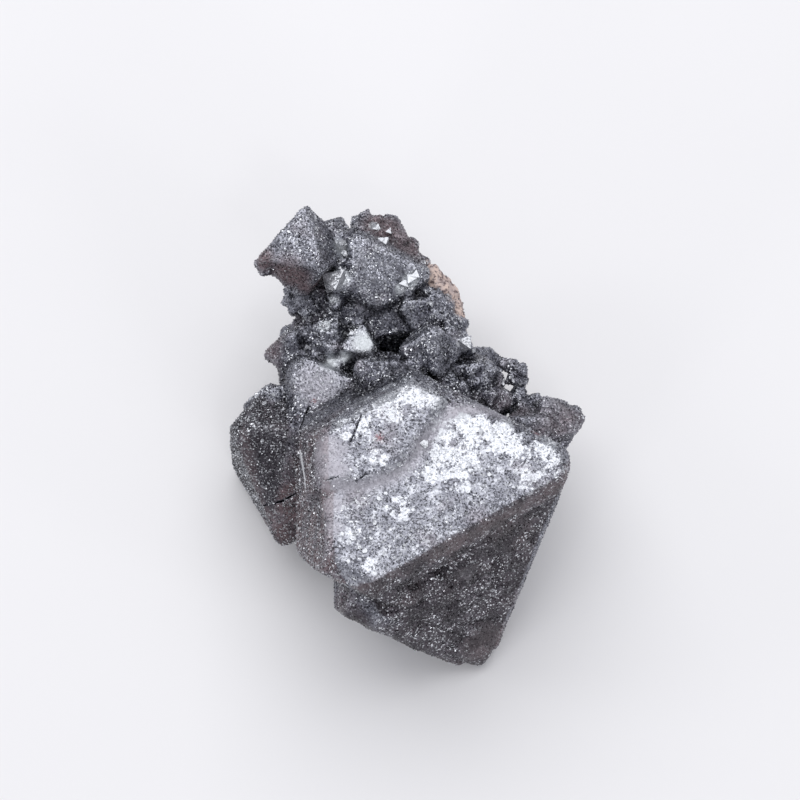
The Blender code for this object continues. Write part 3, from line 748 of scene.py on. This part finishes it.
grains = {
    "families": (
        # name, where, shape, spacing, size range, lean, painted glint, seed
        ("facePlates", "grainTop", "plate", 0.30, (0.09, 0.23), 13, 0, 11),
        ("faceFlakes", "grainTop", "plate", 1.3, (0.20, 0.34), 14, 0.5, 12),
        ("mainGrains", "grainMain", "octahedron", 0.29, (0.06, 0.13), 60, 0, 21),
        ("leftGrains", "grainLeft", "octahedron", 0.27, (0.06, 0.14), 60, 0, 31),
        ("crustGrains", "grainCrust", "octahedron", 0.29, (0.06, 0.15), 70, 0, 41),
        ("crustSparks", "sparkCrust", "octahedron", 0.8, (0.07, 0.20), 70, 0.8, 42),
        ("leftSparks", "sparkLeft", "octahedron", 0.27, (0.07, 0.19), 70, 0.9, 32),
        ("mainSparks", "sparkMain", "octahedron", 0.5, (0.07, 0.19), 70, 0.8, 22),
        ("sideSparks", "sparkSide", "octahedron", 0.28, (0.08, 0.20), 70, 0.9, 23),
    ),
    "onRock": (("rockGrains", "grainRock", "octahedron", 0.42, (0.07, 0.17), 70, 0, 51),),
    "crowding": 1.5,  # grains tried per square of the spacing
    "plate": {"vertices": 5, "radius1": 1, "radius2": 0.8, "depth": 0.35},
    "flake": {"vertices": 5, "radius1": 0.56, "radius2": 0.46, "depth": 0.34},
    "needle": {"vertices": 6, "radius1": 0.9, "radius2": 0.35, "depth": 1},
    # the limit that picks the vertices, and how far they move
    "flakeTip": (0.4, (0.12, 0.3, 0)), "flakeDip": (-0.3, (0, 0, -0.08)), "needleBend": (0.3, (0.4, 0, 0)),
    "flakes": (
        # x, y, z, width, turn
        (-5.7, -16.6, 23.5, 0.9, 10), (-4.4, -18.2, 23.5, 0.7, 70), (-6.1, -19.3, 23.5, 0.6, 130),
        (-3.8, -16.9, 23.5, 0.5, 40), (2.0, -6.4, 23.6, 1.1, 35), (-0.8, -9.1, 24.3, 0.6, 90),
        (3.0, -7.8, 23.6, 0.7, 150), (6.4, -11.4, 23.5, 0.9, 20), (4.9, -9.2, 23.5, 0.7, 100),
        (-2.8, -12.5, 23.5, 0.8, 60), (-2.3, -12.0, 23.5, 0.5, 15), (-3.3, -15.0, 23.5, 0.6, 80),
        (-4.9, -17.6, 23.5, 0.6, 120), (-6.5, -16.2, 23.5, 0.6, 30), (8.6, -9.6, 23.5, 0.6, 45),
        (-17.0, 2.9, 13.4, 0.7, 65), (-16.2, 3.0, 13.9, 0.8, 110), (-15.5, 2.2, 14.2, 0.6, 20),
        (-14.4, 2.9, 14.5, 0.5, 75), (-13.4, 1.2, 14.4, 0.5, 140), (-15.6, -2.5, 15.1, 0.5, 25),
        (-7.9, 12.8, 17.9, 0.8, 50), (-8.9, 10.2, 16.8, 0.7, 95), (-3.7, 21.3, 18.7, 0.8, 35),
        (-2.6, 19.2, 19.6, 0.9, 80), (5.4, 7.7, 17.2, 0.7, 15), (7.2, 7.6, 16.1, 0.6, 115),
        (2.6, 17.2, 17.8, 0.7, 60), (-11.4, 15.8, 23.4, 0.5, 100), (-10.4, 20.2, 22.4, 0.6, 5),
        (0.4, 14.3, 19.7, 0.9, 40), (-0.5, 13.4, 19.4, 0.7, 100), (0.9, 13.2, 19.2, 0.7, 75),
        (-7.2, 18.4, 20.6, 0.9, 30), (-6.7, 17.2, 20.3, 0.8, 85),
    ),
    # flakeShine, budShine and needleShine are the shapes' shares of painted glint
    "flakeLean": 9, "flakeNarrow": 0.7, "flakeShine": 0.75,
    "buds": (
        # x, y, z, size, turn, lean
        (-7.7, 14.3, 19.7, 1.75, 8, -9), (6.5, 8.2, 16.6, 1.2, 25, 12), (-2.5, 19.1, 19.6, 0.9, 10, 8),
        (-3.3, 21.1, 18.5, 0.7, 50, 10), (-1.7, 20.4, 19.1, 0.5, 35, -12), (-0.3, 13.7, 19.5, 0.8, 40, 6),
        (0.5, 14.2, 19.8, 0.95, 95, 5), (1.1, 14.7, 19.9, 0.7, 50, -8), (-7.6, 12.8, 18.0, 0.7, 20, 6),
        (-8.9, 11.6, 16.3, 0.5, 10, 8), (-5.9, 9.0, 17.0, 0.6, 65, 15), (2.6, 12.0, 18.0, 0.6, 15, 20),
        (-11.0, 8.2, 15.6, 0.6, 80, 18), (9.9, 4.6, 14.0, 0.7, 30, 20), (-10.2, 12.0, 16.0, 0.5, 55, 12),
    ),
    "budSunk": 0.25, "budShine": 0.7,
    "needles": (
        # start, end, width
        ((-11.35, -5.2, 18.9), (-10.7, -10.1, 20.7), 0.13),
        ((-11.2, -6.2, 19.3), (-10.75, -10.6, 20.6), 0.09),
        ((-11.4, -5.9, 18.8), (-10.9, -9.0, 20.2), 0.08),
    ),
    "needleCuts": 3, "needleShine": 0.9, "needleTan": 0.35,
    "squash": ((0.6, 0.45, 1.0), (1.3, 1.0, 1.0)),
}


def grainShape(kind):
    clearSelection()
    if kind == "plate":
        bpy.ops.mesh.primitive_cone_add(**grains["plate"])
        return bpy.context.object
    # an octahedron on one face: a triangular prism whose upper end turns by 60 degrees
    bpy.ops.mesh.primitive_cylinder_add(vertices=3, radius=math.sqrt(2 / 3), depth=2 / math.sqrt(3))
    item = bpy.context.object
    bpy.ops.object.mode_set(mode="EDIT")
    bpy.ops.mesh.select_all(action="DESELECT")
    bpy.ops.object.mode_set(mode="OBJECT")
    for face in item.data.polygons:
        face.select = face.normal.z > 0.9  # the upper end
    bpy.ops.object.mode_set(mode="EDIT")
    bpy.ops.transform.rotate(value=math.radians(60), orient_axis="Z", center_override=(0, 0, 0))
    bpy.ops.mesh.select_all(action="SELECT")
    bpy.ops.mesh.convex_hull()
    bpy.ops.object.mode_set(mode="OBJECT")
    return item


def grainNodes(shape, where, spacing, sizes, lean, paintedGlint, seed):
    # scatters the shape where the attribute says, each grain with its own turn, lean and squash
    group = bpy.data.node_groups.new("scatter", "GeometryNodeTree")
    group.interface.new_socket("Geometry", in_out="INPUT", socket_type="NodeSocketGeometry")
    group.interface.new_socket("Geometry", in_out="OUTPUT", socket_type="NodeSocketGeometry")
    start = addNode(group, "NodeGroupInput")
    chance = addNode(group, "GeometryNodeInputNamedAttribute", {"Name": where}, data_type="FLOAT")
    scatter = addNode(group, "GeometryNodeDistributePointsOnFaces", {
        "Mesh": start.outputs[0], "Distance Min": spacing * mm,
        "Density Max": grains["crowding"] / (spacing * mm) ** 2,
        "Density Factor": chance.outputs[0], "Seed": seed,
    }, distribute_method="POISSON")
    facing = addNode(group, "GeometryNodeInputNamedAttribute", {
        "Name": "faceWay",
    }, data_type="FLOAT_VECTOR")
    aligned = addNode(group, "FunctionNodeAlignRotationToVector", {"Vector": facing.outputs[0]}, axis="Z")
    lean = math.radians(lean)
    turned = addNode(group, "FunctionNodeRandomValue", {
        0: (-lean, -lean, 0), 1: (lean, lean, math.tau), "Seed": seed + 1,
    }, data_type="FLOAT_VECTOR")
    rotated = addNode(group, "FunctionNodeRotateRotation", {
        "Rotation": aligned.outputs[0], "Rotate By": turned.outputs[0],
    }, rotation_space="LOCAL")
    size = addNode(group, "FunctionNodeRandomValue", {
        2: sizes[0] * mm, 3: sizes[1] * mm, "Seed": seed + 2,
    }, data_type="FLOAT")
    squash = addNode(group, "FunctionNodeRandomValue", {
        0: grains["squash"][0], 1: grains["squash"][1], "Seed": seed + 3,
    }, data_type="FLOAT_VECTOR")
    scaled = stretch(group, squash.outputs[0], size.outputs[1])
    source = addNode(group, "GeometryNodeObjectInfo", {"Object": shape})
    placed = addNode(group, "GeometryNodeInstanceOnPoints", {
        "Points": scatter.outputs["Points"], "Instance": source.outputs["Geometry"],
        "Rotation": rotated.outputs[0], "Scale": scaled,
    })
    whole = addNode(group, "GeometryNodeRealizeInstances", {"Geometry": placed.outputs[0]})
    # each grain's flake attribute holds its share of painted glint
    marked = addNode(group, "GeometryNodeStoreNamedAttribute", {
        "Geometry": whole.outputs[0], "Name": "flake", "Value": float(paintedGlint),
    }, data_type="FLOAT", domain="POINT")
    addNode(group, "NodeGroupOutput", {0: marked.outputs[0]})
    return group


def pullOut(item, chosen, shift):
    # moves the chosen vertices of a small shape
    bpy.ops.object.mode_set(mode="EDIT")
    bpy.ops.mesh.select_mode(type="VERT")
    bpy.ops.mesh.select_all(action="DESELECT")
    bpy.ops.object.mode_set(mode="OBJECT")
    for vertex in item.data.vertices:
        vertex.select = chosen(vertex.co)
    bpy.ops.object.mode_set(mode="EDIT")
    bpy.ops.transform.translate(value=shift)
    bpy.ops.object.mode_set(mode="OBJECT")


def flakeShape():
    # a thin plate with one corner drawn out and its top lower on one side
    clearSelection()
    bpy.ops.mesh.primitive_cone_add(**grains["flake"])
    item = bpy.context.object
    (tip, tipShift), (side, sideShift) = grains["flakeTip"], grains["flakeDip"]
    pullOut(item, lambda point: point.y > tip, tipShift)
    pullOut(item, lambda point: point.x < side and point.z > 0, sideShift)
    return item


def needleShape():
    # a long narrow cone that bows in the middle
    clearSelection()
    bpy.ops.mesh.primitive_cone_add(**grains["needle"])
    item = bpy.context.object
    bpy.ops.object.mode_set(mode="EDIT")
    bpy.ops.mesh.select_all(action="SELECT")
    bpy.ops.mesh.subdivide(number_cuts=grains["needleCuts"])
    bpy.ops.object.mode_set(mode="OBJECT")
    middle, shift = grains["needleBend"]
    pullOut(item, lambda point: abs(point.z) < middle, shift)
    return item


def layCopies(name, shape, places, paintedGlint, tan, material):
    # copies of a small shape joined into one piece
    copies = []
    for place in places:
        copies.append(copyOf(shape, name))
        copies[-1].data.transform(place)
    bpy.data.objects.remove(shape)
    item = joinAll(copies)
    # the flake attribute holds the copies' share of painted glint
    keepAttribute(item, "flake", np.full(len(item.data.vertices), paintedGlint))
    keepAttribute(item, "tan", np.full(len(item.data.vertices), tan))
    giveMaterial(item, material)
    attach(item, "root")
    print(name, trianglesOf(item), "triangles")


def placeCopies(host, material):
    # the flakes, buds and needles stand one by one on the nearest points of the host
    points, ways = pointsOf(host), normalsOf(host)

    def surfaceAt(place):
        nearest = nearestTo(points, place)
        return Vector(points[nearest]), Vector(ways[nearest])

    # flakes lie along the surface, each a little tilted
    places = []
    for number, (x, y, z, width, turn) in enumerate(grains["flakes"]):
        point, way = surfaceAt((x, y, z))
        lean = Matrix.Rotation(math.radians(grains["flakeLean"] * (number % 3 - 1)), 4, "X")
        spin = Matrix.Rotation(math.radians(turn), 4, "Z")
        size = Matrix.Diagonal((width * mm, width * grains["flakeNarrow"] * mm, width * mm, 1))
        facing = way.to_track_quat("Z", "Y").to_matrix().to_4x4()
        places.append(Matrix.Translation(point * mm) @ facing @ spin @ lean @ size)
    layCopies("brightFlakes", flakeShape(), places, grains["flakeShine"], 0, material)
    # buds are small octahedra half grown out of the crest
    places = []
    for x, y, z, size, turn, lean in grains["buds"]:
        point, way = surfaceAt((x, y, z))
        spin, tip = Matrix.Rotation(math.radians(turn), 4, "Z"), Matrix.Rotation(math.radians(lean), 4, "Y")
        sunk = Matrix.Translation((point - way * size * grains["budSunk"]) * mm)
        places.append(sunk @ spin @ tip @ Matrix.Scale(size * mm, 4))
    layCopies("crystalBuds", grainShape("octahedron"), places, grains["budShine"], 0, material)
    # a few thin pale needles lie in the crevice beside the large crystal
    places = []
    for start, end, width in grains["needles"]:
        (start, way), (end, _) = surfaceAt(start), surfaceAt(end)
        along, middle = end - start, (start + end) / 2 + way * width / 2
        facing = along.to_track_quat("Z", "Y").to_matrix().to_4x4()
        size = Matrix.Diagonal((width * mm, width * mm, along.length * mm, 1))
        places.append(Matrix.Translation(middle * mm) @ facing @ size)
    layCopies("creviceNeedles", needleShape(), places, grains["needleShine"], grains["needleTan"], material)


def growGrains(host, material, families):
    # each family is scattered on a copy of the host and keeps only its grains
    for name, where, kind, spacing, sizes, lean, paintedGlint, seed in families:
        shape = grainShape(kind)
        item = copyOf(host, name)
        choose(item)
        step = item.modifiers.new("scatter", "NODES")
        step.node_group = grainNodes(shape, where, spacing, sizes, lean, paintedGlint, seed)
        bpy.ops.object.modifier_apply(modifier=step.name)
        bpy.data.objects.remove(shape)
        giveMaterial(item, material)
        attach(item, "root")
        print(name, trianglesOf(item), "triangles")


# the chip of host rock

rock = {
    "voxel": 0.14, "grow": 0.22,
    "waves": (
        # pattern, size, depth
        ("CLOUDS", 1.6, 0.6), ("VORONOI", 0.8, 0.45), ("CLOUDS", 0.35, 0.25),
    ),
    "pale": (0.66, 0.52, 0.46), "dusky": (0.47, 0.39, 0.38), "dark": (0.16, 0.12, 0.12),
    # noises: width in mm, detail, roughness, shift
    "fine": (0.45, 4, 0.65), "broad": (1.2, 3, 0.6, 0.2),
    # ramps: where they start, where they are full
    "fineRamp": (0.50, 0.60), "broadRamp": (0.35, 0.65),
    "roughness": 0.8, "bump": 0.1, "bumpShare": 0.6, "grainShare": 0.7, "grainPatch": 1.0,
}


def buildRock():
    item = remeshedNode("matrix_chip", "rockChip", rock["voxel"])
    addModifier(item, "DISPLACE", strength=rock["grow"] * mm, mid_level=0)
    for kind, size, depth in rock["waves"]:
        addWave(item, kind, size, depth)
    material, tree, shader = newMaterial("hostRock")
    fine, broad = noiseAt(tree, *rock["fine"]), noiseAt(tree, *rock["broad"])
    base = blendColour(tree, rampOf(tree, broad, *rock["broadRamp"]), rock["pale"], rock["dusky"])
    base = blendColour(tree, rampOf(tree, fine, *rock["fineRamp"]), base, rock["dark"])
    tree.links.new(base, shader.inputs["Base Color"])
    shader.inputs["Roughness"].default_value = rock["roughness"]
    bump = addNode(tree, "ShaderNodeBump", {
        "Height": fine, "Distance": rock["bump"] * mm, "Strength": rock["bumpShare"],
    })
    tree.links.new(bump.outputs[0], shader.inputs["Normal"])
    giveMaterial(item, material)
    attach(item, "root")
    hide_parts("matrix_chip")
    print("rock", trianglesOf(item), "triangles")
    keepAttribute(item, "faceWay", normalsOf(item))
    keepAttribute(item, "grainRock", rock["grainShare"] * patchesAt(pointsOf(item), rock["grainPatch"]))
    return item


buildStudio()
hematiteBody = buildBody()
shared = hematiteMaterial()
giveMaterial(hematiteBody, shared)
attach(hematiteBody, "root")
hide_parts("crystal_cluster")
growGrains(hematiteBody, shared, grains["families"])
placeCopies(hematiteBody, shared)
growGrains(buildRock(), shared, grains["onRock"])
